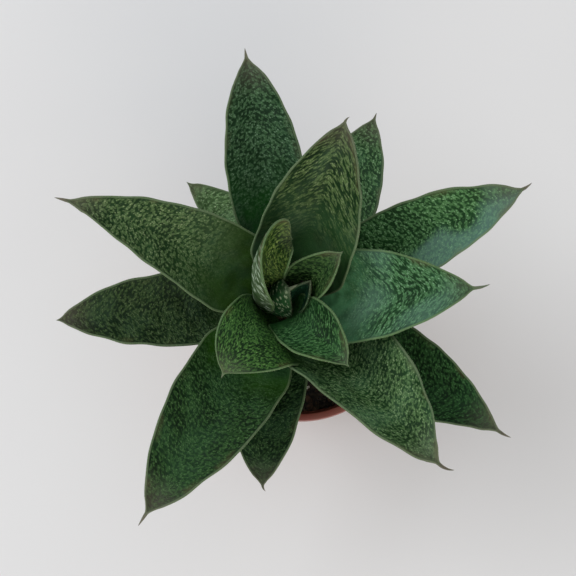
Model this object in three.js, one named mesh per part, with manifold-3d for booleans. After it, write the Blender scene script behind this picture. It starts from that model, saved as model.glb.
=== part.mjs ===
// A rosette succulent, a gasteraloe, standing in the soil of a small plastic nursery pot.
// Millimetres, +Z up. The origin is the middle of the pot's base, on the surface that it stands on.

import * as THREE from "three";
import { mergeVertices } from "three/addons/utils/BufferGeometryUtils.js";
import Module from "manifold-3d";

const wasm = await Module();
wasm.setup();

// The room left between two pieces that rest on each other
const CLEARANCE = 0.3;

// Driving sizes of the pot
const POT_HEIGHT = 80;
const RIM_RADIUS = 45;
const BASE_RADIUS = 31.3;
const WALL = 0.9;
const FLOOR = 1;
const POT_SIDES = 60;

// The rim: the wall turns outwards and down again, with a gap between it and the band
const BAND_HEIGHT = 9;
const BAND_GAP = 1;
const RIM_WIDTH = 2 * WALL + BAND_GAP;
const RIM_ROUNDING = 0.5;

// The floor of the pot: a flat middle, a raised groove with drain holes in it, and a foot ring
const GROOVE_INNER = 17;
const GROOVE_OUTER = 25;
const GROOVE_HEIGHT = 2.2;
const GROOVE_SLOPE = 1;
const DRAIN_HOLES = 8;
const DRAIN_RADIUS = 2.6;
const DRAIN_SIDES = 12;

// Driving sizes of the soil
const SOIL_TOP = 70;
const SOIL_BUMP = 0.8;
const SOIL_RINGS = 7;
const SOIL_SIDES = 40;

// Driving sizes of the stem. Its axis leans a little from the pot's axis, and its outline is given
// as heights with the radius at each.
const STEM_OUTLINE = [
  [56, 3.4],
  [58, 4.6],
  [76, 6],
  [82, 6.5],
  [90, 7.5],
  [95, 7],
  [101, 6.6],
  [104, 5],
  [106.5, 2.6],
];
const STEM_SIDES = 20;
const AXIS_AT_RIM = new THREE.Vector2(-6, 4);
const AXIS_LEAN = new THREE.Vector2(0.02, -0.12);

// How finely a leaf is cut up
const BLADE_STEPS = 16;
const AWN_STEPS = 2;
const FACE_STEPS = 6;
const PATH_STEPS = 240;

// What the section of a leaf has in common from leaf to leaf
const MARGIN_THICKNESS = 0.8;
const CHANNEL_POWER = 1.5;
const KEEL_POWER = 1.7;
const THINNING = 0.6;
const THINNING_POWER = 1.5;
const AWN_HALF_WIDTH = [0.55, 0.35];
const LEAST_DEPTH = 0.5;
const DEPTH_BY_HALF_WIDTH = 0.8;

// What most leaves share. Angles are in degrees, lengths in millimetres.
// heading is the way that the leaf leaves the stem, seen from above and counted from +X to +Y, and
// sway turns it further towards the tip. foot is the distance from the stem's axis and the height,
// and turn moves the foot round the stem from where the leaf is heading. rise, roll and cup are
// given at even steps from the foot to the tip: the midrib's slope, the turn about the midrib, and
// how far each margin is folded up. base is the width at the foot as a share of the full width,
// belly is where the leaf is widest, and taper is how blunt it is beyond that. lean moves the width
// from one side of the midrib to the other. awn is the length of the spine at the tip, which hook
// bends sideways.
const USUAL = {
  sway: 0,
  turn: 0,
  hook: 0,
  lean: 0,
  roll: [0, 0, 0],
  base: 0.25,
  awn: 4,
  taper: 2,
  thick: 6,
};

const LEAVES = {
  leaf_01: {
    heading: 99.5, foot: [8, 87], blade: 97, rise: [22, 18, 8], cup: [25, 25, 25],
    width: 34, belly: 0.44, taper: 2.6,
  },
  leaf_02: {
    heading: 152, sway: 14, foot: [8, 92], blade: 93, rise: [28, 19, 0], cup: [25, 25, 25],
    width: 38, belly: 0.25, taper: 1.7, awn: 6,
  },
  leaf_03: {
    heading: 184, sway: 3, foot: [7, 82], blade: 89, rise: [12, 10, 4], cup: [22, 22, 22],
    width: 32, belly: 0.36, taper: 2.7, awn: 1,
  },
  leaf_04: {
    heading: 237.5, foot: [8, 88], blade: 98, rise: [22, 18, 0], cup: [18, 18, 18],
    width: 41, belly: 0.3, taper: 2.6, awn: 6,
  },
  leaf_05: {
    heading: 259, sway: 12, foot: [7, 82], blade: 70, rise: [10, 8, 0], roll: [0, 12, 10],
    cup: [22, 22, 22], width: 30, belly: 0.42, taper: 2.8, awn: 3, lean: 0.1, hook: 50,
  },
  leaf_06: {
    heading: 311, sway: 1, foot: [8, 89], blade: 89, rise: [32, 27, 0], roll: [0, -20, -15],
    cup: [35, 36, 33], width: 49, belly: 0.33, taper: 2.4, awn: 7, lean: -0.12, hook: 50,
  },
  leaf_07: {
    heading: 331, sway: -10, foot: [7, 83], blade: 96, rise: [12, 12, 6], cup: [25, 25, 25],
    width: 37, belly: 0.38, taper: 2.2, awn: 6, lean: -0.1, hook: 20,
  },
  leaf_08: {
    heading: 1, sway: 4, foot: [7, 98], blade: 74, rise: [44, 22, -10], cup: [16, 16, 16],
    width: 39, belly: 0.27, taper: 2.1, awn: 7, hook: 20,
  },
  leaf_09: {
    heading: 24.5, foot: [8, 88], blade: 101, rise: [22, 16, 6], cup: [26, 26, 26],
    width: 34, belly: 0.35, taper: 2.8, awn: 5, lean: 0.03, hook: 20,
  },
  leaf_10: {
    heading: 62, sway: 8, foot: [7, 82], blade: 81, rise: [10, 10, 4], cup: [20, 20, 20],
    width: 35, belly: 0.38, taper: 2.3, awn: 3,
  },
  leaf_11: {
    heading: 70, sway: 3, foot: [7, 94], blade: 77, rise: [48, 36, 15], cup: [33, 33, 33],
    width: 46, belly: 0.29, taper: 2.5, awn: 3, hook: -50,
  },
  leaf_12: {
    heading: 125, sway: 14, foot: [7, 82], blade: 60, rise: [10, 8, 8], cup: [20, 20, 20],
    width: 24, belly: 0.45, taper: 1.7, awn: 1, lean: -0.2,
  },
  leaf_13: {
    heading: 120, sway: -112, turn: 60, foot: [6.6, 98], blade: 48, rise: [66, 58, -50],
    roll: [0, 64, 10], cup: [40, 50, 30], width: 21, belly: 0.75, base: 0.3, taper: 3.5,
    awn: 1, lean: 0.4,
  },
  leaf_14: {
    heading: 214, sway: 30, turn: 40, foot: [6.6, 97], blade: 55, rise: [0, 85, 60, 8, -12],
    cup: [25, 0, 10], width: 35, belly: 0.35, base: 0.35, taper: 3, awn: 2, lean: 0.15,
  },
  leaf_15: {
    heading: 40, sway: -4, foot: [4, 105], blade: 34, rise: [64, 48, 20], cup: [36, 34, 30],
    width: 20, belly: 0.5, base: 0.5, awn: 1,
  },
  leaf_16: {
    heading: 320, sway: -10, turn: -48, foot: [5, 105], blade: 42, rise: [64, 38, 2],
    roll: [0, 5, 0], cup: [30, 25, 24], width: 24, belly: 0.45, base: 0.75, awn: 1,
  },
  leaf_17: {
    heading: 200, turn: -20, foot: [6.4, 101], blade: 27, rise: [65, 112, 136],
    cup: [20, 38, 26], width: 19, belly: 0.45, base: 0.5, thick: 2.5, awn: 5,
  },
  leaf_18: {
    heading: 50, turn: -45, foot: [4, 105], blade: 21, rise: [72, 68, 70], cup: [55, 55, 45],
    width: 16, belly: 0.5, thick: 2.5, awn: 1,
  },
};

// From the heart outwards. Where two leaves press on each other, the later one gives way.
const HEART_OUTWARDS = [
  "leaf_18", "leaf_17", "leaf_13", "leaf_15", "leaf_16", "leaf_14", "leaf_08", "leaf_11", "leaf_06",
  "leaf_02", "leaf_09", "leaf_04", "leaf_01", "leaf_07", "leaf_05", "leaf_03", "leaf_10", "leaf_12",
];

// Finishes, as three.js colours of the sunlit surface
const OLD_LEAF = 0x4d6b45;
const YOUNG_LEAF = 0x6f8d6c;
const YOUNG_LEAVES = ["leaf_08", "leaf_13", "leaf_14", "leaf_15", "leaf_16", "leaf_17", "leaf_18"];
const POT_PLASTIC = 0x6b372c;
const DARK_SOIL = 0x2b231d;
const PALE_STEM = 0x8d8d66;
const ROUGHNESS = { pot: 0.55, soil: 0.95, stem: 0.7, leaf: 0.5 };
const MERGE_DISTANCE = 1e-4;

const toRadians = THREE.MathUtils.degToRad;

// The value at s of the polynomial through the given values, evenly spaced from s = 0 to s = 1.
function bend(values, s) {
  const place = s * (values.length - 1);
  const weight = (i) => values.reduce((w, _, j) => (j === i ? w : (w * (place - j)) / (i - j)), 1);
  return values.reduce((sum, value, i) => sum + value * weight(i), 0);
}

// A closed solid for booleans, from a geometry whose doubled points are merged first.
function solidOf(geometry) {
  const bare = new THREE.BufferGeometry();
  bare.setAttribute("position", geometry.getAttribute("position"));
  bare.setIndex(geometry.getIndex());
  const merged = mergeVertices(bare, MERGE_DISTANCE);
  const index = merged.getIndex().array;
  const faces = [];
  for (let i = 0; i < index.length; i += 3) {
    const [a, b, c] = index.slice(i, i + 3);
    if (a !== b && b !== c && c !== a) faces.push(a, b, c);
  }
  return new wasm.Manifold(
    new wasm.Mesh({
      numProp: 3,
      vertProperties: merged.getAttribute("position").array,
      triVerts: new Uint32Array(faces),
    }),
  );
}

function geometryOf(solid) {
  const mesh = solid.getMesh();
  const geometry = new THREE.BufferGeometry();
  geometry.setAttribute("position", new THREE.BufferAttribute(mesh.vertProperties, mesh.numProp));
  geometry.setIndex(new THREE.BufferAttribute(mesh.triVerts, 1));
  return geometry;
}

// The outline, given as points of radius and height, turned about the vertical axis.
function revolve(outline, sides) {
  const points = outline.map(([radius, height]) => new THREE.Vector2(radius, height));
  return new THREE.LatheGeometry(points, sides).rotateX(Math.PI / 2);
}

// The radius of the pot's outside at a height, below its rim band.
function potOutside(height) {
  const top = RIM_RADIUS - WALL - BAND_GAP;
  return THREE.MathUtils.mapLinear(height, 0, POT_HEIGHT, BASE_RADIUS, top);
}

// The radius of the pot's inside at a height above its floor.
function potInside(height) {
  return potOutside(height) - WALL;
}

function potGeometry() {
  const bandFoot = POT_HEIGHT - BAND_HEIGHT;
  const bandInside = RIM_RADIUS - WALL;
  const grooveRoof = GROOVE_HEIGHT + FLOOR;
  const outline = [
    [0, 0],
    [GROOVE_INNER, 0],
    [GROOVE_INNER + GROOVE_SLOPE, GROOVE_HEIGHT],
    [GROOVE_OUTER - GROOVE_SLOPE, GROOVE_HEIGHT],
    [GROOVE_OUTER, 0],
    [BASE_RADIUS - WALL, 0],
    [potOutside(WALL), WALL],
    [potOutside(POT_HEIGHT - WALL), POT_HEIGHT - WALL],
    [bandInside, POT_HEIGHT - WALL],
    [bandInside, bandFoot],
    [RIM_RADIUS, bandFoot],
    [RIM_RADIUS, POT_HEIGHT - RIM_ROUNDING],
    [RIM_RADIUS - RIM_ROUNDING, POT_HEIGHT],
    [RIM_RADIUS - RIM_WIDTH + RIM_ROUNDING, POT_HEIGHT],
    [RIM_RADIUS - RIM_WIDTH, POT_HEIGHT - RIM_ROUNDING],
    [potInside(FLOOR + WALL), FLOOR + WALL],
    [potInside(FLOOR + WALL) - WALL, FLOOR],
    [GROOVE_OUTER + WALL, FLOOR],
    [GROOVE_OUTER - GROOVE_SLOPE + WALL, grooveRoof],
    [GROOVE_INNER + GROOVE_SLOPE - WALL, grooveRoof],
    [GROOVE_INNER - WALL, FLOOR],
    [0, FLOOR],
  ];
  let pot = solidOf(revolve(outline, POT_SIDES));
  const ring = (GROOVE_INNER + GROOVE_OUTER) / 2;
  const hole = new THREE.CylinderGeometry(DRAIN_RADIUS, DRAIN_RADIUS, 4 * GROOVE_HEIGHT, DRAIN_SIDES);
  hole.rotateX(Math.PI / 2).translate(ring, 0, GROOVE_HEIGHT);
  for (let i = 0; i < DRAIN_HOLES; i++) {
    pot = pot.subtract(solidOf(hole));
    hole.rotateZ((2 * Math.PI) / DRAIN_HOLES);
  }
  return geometryOf(pot);
}

// The soil's surface, uneven by a few long waves that cross each other.
function soilBump(x, y) {
  const broad = Math.sin(0.31 * x + 0.9) * Math.cos(0.27 * y - 0.4);
  const narrow = Math.sin(0.53 * y + 0.2 * x);
  return SOIL_BUMP * (0.6 * broad + 0.4 * narrow);
}

function soilGeometry() {
  const floor = FLOOR + CLEARANCE;
  const grooveRoof = GROOVE_HEIGHT + FLOOR + CLEARANCE;
  const outer = (height) => potInside(height) - CLEARANCE;
  const outline = [
    [0, floor],
    [GROOVE_INNER - WALL - CLEARANCE, floor],
    [GROOVE_INNER + GROOVE_SLOPE - WALL - CLEARANCE, grooveRoof],
    [GROOVE_OUTER - GROOVE_SLOPE + WALL + CLEARANCE, grooveRoof],
    [GROOVE_OUTER + WALL + CLEARANCE, floor],
    [outer(floor + WALL) - WALL, floor],
    [outer(floor + WALL), floor + WALL],
  ];
  const edge = outer(SOIL_TOP);
  for (let i = SOIL_RINGS; i >= 0; i--) outline.push([(edge * i) / SOIL_RINGS, SOIL_TOP]);
  const geometry = revolve(outline, SOIL_SIDES);
  const points = geometry.getAttribute("position");
  for (let i = 0; i < points.count; i++) {
    const [x, y, z] = [points.getX(i), points.getY(i), points.getZ(i)];
    const inside = Math.hypot(x, y) < edge - CLEARANCE;
    if (inside && z > SOIL_TOP - CLEARANCE) points.setZ(i, z + soilBump(x, y));
  }
  return geometryOf(solidOf(geometry).subtract(solidOf(stemGeometry(CLEARANCE))));
}

function stemAxis(height) {
  return AXIS_AT_RIM.clone().addScaledVector(AXIS_LEAN, height - POT_HEIGHT);
}

function stemGeometry(grow) {
  const last = STEM_OUTLINE.length - 1;
  const rings = STEM_OUTLINE.map(([height, radius], k) => {
    const shift = k === 0 ? -grow : k === last ? grow : 0;
    const axis = stemAxis(height);
    return Array.from({ length: STEM_SIDES }, (_, i) => {
      const angle = (-2 * Math.PI * i) / STEM_SIDES;
      const reach = radius + grow;
      return new THREE.Vector3(
        axis.x + reach * Math.cos(angle),
        axis.y + reach * Math.sin(angle),
        height + shift,
      );
    });
  });
  return loft(rings);
}

function halfWidth(leaf, s) {
  const full = leaf.width / 2;
  if (s < leaf.belly) {
    const swell = Math.sin(((Math.PI / 2) * s) / leaf.belly);
    return full * (leaf.base + (1 - leaf.base) * swell);
  }
  return full * (1 - ((s - leaf.belly) / (1 - leaf.belly)) ** leaf.taper);
}

// The way that the midrib runs where it is s blades from the foot, the awn lying beyond s = 1.
function midribDirection(leaf, s) {
  const along = Math.min(s, 1);
  const past = (Math.max(s - 1, 0) * leaf.blade) / leaf.awn;
  const heading = toRadians(leaf.heading + leaf.sway * along ** 2 + leaf.hook * past);
  const rise = toRadians(bend(leaf.rise, along));
  const level = Math.cos(rise);
  return {
    forward: new THREE.Vector3(level * Math.cos(heading), level * Math.sin(heading), Math.sin(rise)),
    side: new THREE.Vector3(-Math.sin(heading), Math.cos(heading), 0),
  };
}

// Points along the midrib, one for each distance in stops, by summing short straight steps.
function midribPoints(leaf, stops) {
  const azimuth = toRadians(leaf.heading + leaf.turn);
  const [radius, height] = leaf.foot;
  const axis = stemAxis(height);
  const point = new THREE.Vector3(
    axis.x + radius * Math.cos(azimuth),
    axis.y + radius * Math.sin(azimuth),
    height,
  );
  const step = (leaf.blade + leaf.awn) / PATH_STEPS;
  const found = [];
  let travelled = 0;
  for (const stop of stops) {
    while (stop - travelled > step / 2) {
      const middle = (travelled + step / 2) / leaf.blade;
      point.addScaledVector(midribDirection(leaf, middle).forward, step);
      travelled += step;
    }
    found.push(point.clone());
  }
  return found;
}

// One closed ring round the leaf: its upper face from margin to margin, then its keeled underside.
function leafSection(leaf, distance, middle, grow) {
  const s = distance / leaf.blade;
  const along = Math.min(s, 1);
  const past = Math.max(distance - leaf.blade, 0) / leaf.awn;
  const { forward, side } = midribDirection(leaf, s);
  const roll = toRadians(bend(leaf.roll, along));
  const across = side.clone().applyAxisAngle(forward, roll);
  const normal = new THREE.Vector3().crossVectors(forward, across);
  const cup = toRadians(bend(leaf.cup, along));
  const awnWidth = THREE.MathUtils.lerp(...AWN_HALF_WIDTH, past);
  const half = Math.max(halfWidth(leaf, along), awnWidth);
  const thinned = leaf.thick * (1 - THINNING * along ** THINNING_POWER);
  const depth = Math.min(thinned, LEAST_DEPTH + DEPTH_BY_HALF_WIDTH * half);
  const margin = Math.min(MARGIN_THICKNESS, depth);
  const upper = [];
  const under = [];
  for (let i = 0; i <= FACE_STEPS; i++) {
    const v = -1 + (2 * i) / FACE_STEPS;
    const reach = Math.abs(v);
    const wide = half * Math.cos(cup) * v * (1 + leaf.lean * Math.sign(v));
    const high = half * Math.sin(cup) * reach ** CHANNEL_POWER;
    const slope = CHANNEL_POWER * Math.tan(cup) * Math.sign(v) * Math.sqrt(reach);
    const outward = new THREE.Vector2(-slope, 1).normalize();
    const tangent = new THREE.Vector2(outward.y, -outward.x).multiplyScalar(grow * v);
    const thick = margin + (depth - margin) * (1 - reach ** KEEL_POWER) + grow;
    const at = (x, y) =>
      middle.clone().addScaledVector(across, x + tangent.x).addScaledVector(normal, y + tangent.y);
    upper.push(at(wide + outward.x * grow, high + outward.y * grow));
    under.push(at(wide - outward.x * thick, high - outward.y * thick));
  }
  return [...upper, ...under.reverse()];
}

// A closed skin over rings of the same number of points, with a fan over each end ring.
function loft(rings) {
  const count = rings[0].length;
  const points = rings.flat();
  const faces = [];
  for (let r = 0; r + 1 < rings.length; r++) {
    for (let i = 0; i < count; i++) {
      const a = r * count + i;
      const b = r * count + ((i + 1) % count);
      faces.push(a, a + count, b, b, a + count, b + count);
    }
  }
  const capEnd = (ring, start, flip) => {
    const centre = points.length;
    points.push(ring.reduce((sum, p) => sum.add(p), new THREE.Vector3()).divideScalar(count));
    for (let i = 0; i < count; i++) {
      const pair = [start + i, start + ((i + 1) % count)];
      faces.push(centre, ...(flip ? pair.reverse() : pair));
    }
  };
  capEnd(rings[0], 0, false);
  capEnd(rings.at(-1), (rings.length - 1) * count, true);
  return new THREE.BufferGeometry().setFromPoints(points).setIndex(faces);
}

// A leaf as a closed solid. With grow above zero it is that much fatter and longer all round.
function leafSolid(leaf, grow) {
  const stops = [];
  for (let i = 0; i <= BLADE_STEPS; i++) stops.push((leaf.blade * i) / BLADE_STEPS);
  for (let i = 1; i <= AWN_STEPS; i++) stops.push(leaf.blade + (leaf.awn * i) / AWN_STEPS);
  const middles = midribPoints(leaf, stops);
  middles[0].addScaledVector(midribDirection(leaf, 0).forward, -grow);
  middles.at(-1).addScaledVector(midribDirection(leaf, stops.at(-1) / leaf.blade).forward, grow);
  return solidOf(loft(stops.map((stop, i) => leafSection(leaf, stop, middles[i], grow))));
}

// The largest of the closed bodies in a solid, without the scraps that a cut has left.
function largestBody(solid) {
  return solid.decompose().reduce((best, body) => (body.volume() > best.volume() ? body : best));
}

function addPiece(group, name, geometry, color, roughness) {
  const finish = new THREE.MeshStandardMaterial({ color, roughness, metalness: 0 });
  const mesh = new THREE.Mesh(geometry, finish);
  mesh.name = name;
  group.add(mesh);
}

const object = new THREE.Group();

addPiece(object, "pot", potGeometry(), POT_PLASTIC, ROUGHNESS.pot);
addPiece(object, "soil", soilGeometry(), DARK_SOIL, ROUGHNESS.soil);
addPiece(object, "stem", stemGeometry(0), PALE_STEM, ROUGHNESS.stem);

const inner = [solidOf(stemGeometry(CLEARANCE))];
for (const name of HEART_OUTWARDS) {
  const leaf = { ...USUAL, ...LEAVES[name] };
  const cut = inner.reduce((solid, other) => solid.subtract(other), leafSolid(leaf, 0));
  inner.push(leafSolid(leaf, CLEARANCE));
  const color = YOUNG_LEAVES.includes(name) ? YOUNG_LEAF : OLD_LEAF;
  addPiece(object, name, geometryOf(largestBody(cut)), color, ROUGHNESS.leaf);
}

export default object;
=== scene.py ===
"""A potted gasteraloe: a rosette of eighteen rough leaves on a short stem, in a nursery pot.

Leaf, stem, soil and pot take their forms from the same named values as the solids in the frame.
Those values are millimetres and degrees. Blender's units are metres, so meshes are made with MM.
"""

import sys
import logging
import math
from dataclasses import dataclass, field, replace
from enum import Enum

import bmesh
import bpy
import numpy as np
from mathutils import Euler, Matrix, Vector


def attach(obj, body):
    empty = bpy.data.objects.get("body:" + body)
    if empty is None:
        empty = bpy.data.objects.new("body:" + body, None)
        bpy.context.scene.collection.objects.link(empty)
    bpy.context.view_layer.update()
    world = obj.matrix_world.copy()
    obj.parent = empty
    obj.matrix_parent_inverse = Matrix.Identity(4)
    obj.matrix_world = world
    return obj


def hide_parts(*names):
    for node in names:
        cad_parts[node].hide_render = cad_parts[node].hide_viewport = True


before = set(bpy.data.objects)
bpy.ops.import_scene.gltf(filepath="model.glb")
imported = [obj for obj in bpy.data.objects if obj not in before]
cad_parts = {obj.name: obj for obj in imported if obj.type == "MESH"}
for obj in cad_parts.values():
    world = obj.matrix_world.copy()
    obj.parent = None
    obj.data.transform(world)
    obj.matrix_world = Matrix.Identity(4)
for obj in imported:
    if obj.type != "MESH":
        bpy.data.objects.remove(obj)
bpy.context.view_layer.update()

MM = 0.001
LOG = logging.getLogger("gasteraloe")

# The stem leans a little: its axis in plan at the height of the rim, and its drift for each mm up
RIM_HEIGHT = 80.0
AXIS_AT_RIM = np.array([-6.0, 4.0])
AXIS_LEAN = np.array([0.02, -0.12])


def stem_axis(height: float) -> np.ndarray:
    """Gives the place in plan, in mm, of the stem's axis at a height in mm."""
    return AXIS_AT_RIM + AXIS_LEAN * (height - RIM_HEIGHT)


def tone(red: int, green: int, blue: int) -> tuple[float, float, float, float]:
    """Turns a colour given as 0 to 255 a channel, as seen on screen, into a linear one.

    Args:
        red: The red channel.
        green: The green channel.
        blue: The blue channel.

    Returns:
        The colour that a shader socket takes.
    """
    steps = [channel / 255 for channel in (red, green, blue)]
    linear = [c / 12.92 if c <= 0.04045 else ((c + 0.055) / 1.055) ** 2.4 for c in steps]
    return (*linear, 1.0)


def bend(values: tuple[float, ...], s: np.ndarray) -> np.ndarray:
    """Reads a polynomial through evenly spaced values.

    Args:
        values: The values at even steps from s = 0 to s = 1.
        s: Where to read it.

    Returns:
        The polynomial at s.
    """
    place = s * (len(values) - 1)
    total = np.zeros_like(place)
    for i, value in enumerate(values):
        weight = np.ones_like(place)
        for j in range(len(values)):
            if j != i:
                weight = weight * (place - j) / (i - j)
        total = total + value * weight
    return total


def smooth_step(low: float, high: float, value: np.ndarray) -> np.ndarray:
    """Rises smoothly from 0 where value is low to 1 where it is high."""
    t = np.clip((value - low) / (high - low), 0, 1)
    return t * t * (3 - 2 * t)


class Part(Enum):
    """The record's material slots."""

    POT = "pot"
    SOIL = "soil"
    STEM = "stem"
    OLD_LEAF = "old_leaf"
    YOUNG_LEAF = "young_leaf"


class Waves:
    """A gentle seeded unevenness, made of long waves that cross each other."""

    def __init__(self, seed: int, shortest: float, longest: float, count: int = 9) -> None:
        """Draws the waves.

        Args:
            seed: The seed of the draw.
            shortest: The shortest wavelength in mm.
            longest: The longest wavelength in mm.
            count: How many waves are added up.
        """
        draw = np.random.default_rng(seed)
        lengths = draw.uniform(shortest, longest, count)
        turns = draw.uniform(0, math.pi, count)
        self.pull = 2 * math.pi / lengths * np.array([np.cos(turns), np.sin(turns)])
        self.start = draw.uniform(0, 2 * math.pi, count)
        self.scale = math.sqrt(2 / count)

    def at(self, x: np.ndarray, y: np.ndarray) -> np.ndarray:
        """Gives the height of the waves, about -2 to 2, at places in mm."""
        total = np.zeros(np.broadcast(x, y).shape)
        for pull_x, pull_y, start in zip(*self.pull, self.start):
            total += np.sin(pull_x * x + pull_y * y + start)
        return total * self.scale


Socket = bpy.types.NodeSocket
Piece = bpy.types.Object
Pair = tuple[float, float]
Feed = Socket | float | tuple


class Shader:
    """A material being wired: short ways to add nodes and join them."""

    def __init__(self, name: str) -> None:
        """Starts a material that holds a Principled shader alone."""
        self.material = bpy.data.materials.new(name)
        self.material.use_nodes = True
        self.tree = self.material.node_tree
        self.skin = self.tree.nodes["Principled BSDF"]

    def feed(self, socket: Socket, value: Feed) -> None:
        """Joins a socket to another one, or sets it to a number, colour or vector."""
        if isinstance(value, Socket):
            self.tree.links.new(value, socket)
        else:
            socket.default_value = value

    def add(self, kind: str, feeds: dict[str | int, Feed], **settings: str) -> bpy.types.Node:
        """Adds a node.

        Args:
            kind: The node's type.
            feeds: What each input takes, by the input's name or number.
            settings: The node's own properties.

        Returns:
            The node.
        """
        node = self.tree.nodes.new(kind)
        for key, value in settings.items():
            setattr(node, key, value)
        for key, value in feeds.items():
            self.feed(node.inputs[key], value)
        return node

    def set(self, socket: str, value: Feed) -> None:
        """Feeds one of the Principled shader's sockets."""
        self.feed(self.skin.inputs[socket], value)

    def attribute(self, name: str) -> Socket:
        """Reads one of the mesh's own vector attributes."""
        return self.add("ShaderNodeAttribute", {}, attribute_name=name).outputs["Vector"]

    def place(self) -> Socket:
        """Gives the Object coordinates, in metres."""
        return self.add("ShaderNodeTexCoord", {}).outputs["Object"]

    def split(self, vector: Feed) -> list[Socket]:
        """Takes a vector apart into its three numbers."""
        return list(self.add("ShaderNodeSeparateXYZ", {0: vector}).outputs)

    def scaled(self, vector: Feed, factors: tuple[float, float, float]) -> Socket:
        """Stretches a vector by a factor along each axis."""
        feeds = {0: vector, 1: factors}
        return self.add("ShaderNodeVectorMath", feeds, operation="MULTIPLY").outputs[0]

    def sum(self, operation: str, a: Feed, b: Feed) -> Socket:
        """Works out one sum."""
        return self.add("ShaderNodeMath", {0: a, 1: b}, operation=operation).outputs[0]

    def plus(self, a: Feed, b: Feed) -> Socket:
        """Adds two numbers."""
        return self.sum("ADD", a, b)

    def times(self, a: Feed, b: Feed) -> Socket:
        """Multiplies two numbers."""
        return self.sum("MULTIPLY", a, b)

    def ramp(self, value: Feed, low: Feed, high: Feed) -> Socket:
        """Rises smoothly from 0 where value is low to 1 where it is high."""
        feeds = {"Value": value, "From Min": low, "From Max": high}
        return self.add("ShaderNodeMapRange", feeds, interpolation_type="SMOOTHSTEP").outputs[0]

    def between(self, value: Feed, low: float, high: float) -> Socket:
        """Maps a number that runs from 0 to 1 onto low to high."""
        feeds = {"Value": value, "To Min": low, "To Max": high}
        return self.add("ShaderNodeMapRange", feeds).outputs[0]

    def mix(self, factor: Feed, a: Feed, b: Feed) -> Socket:
        """Blends from colour a to colour b."""
        return self.add("ShaderNodeMix", {0: factor, 6: a, 7: b}, data_type="RGBA").outputs[2]

    def noise(self, vector: Feed, scale: float, detail: float) -> Socket:
        """Gives a noise, from 0 to 1.

        Args:
            vector: Where it is read.
            scale: Its scale for each unit of the vector.
            detail: How many finer layers it has.

        Returns:
            Its value.
        """
        feeds = {"Vector": vector, "Scale": scale, "Detail": detail}
        return self.add("ShaderNodeTexNoise", feeds).outputs[0]

    def cells(self, vector: Feed, scale: float) -> bpy.types.Node:
        """Adds a texture of cells, whose outputs are Distance and Color."""
        return self.add("ShaderNodeTexVoronoi", {"Vector": vector, "Scale": scale})

    def bump(self, height: Feed, distance: float, strength: float) -> None:
        """Gives the surface a fine relief.

        Args:
            height: The relief, from 0 to 1.
            distance: How high 1 stands, in mm.
            strength: How much of it is shown.
        """
        feeds = {"Height": height, "Distance": distance * MM, "Strength": strength}
        self.set("Normal", self.add("ShaderNodeBump", feeds).outputs[0])


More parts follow.
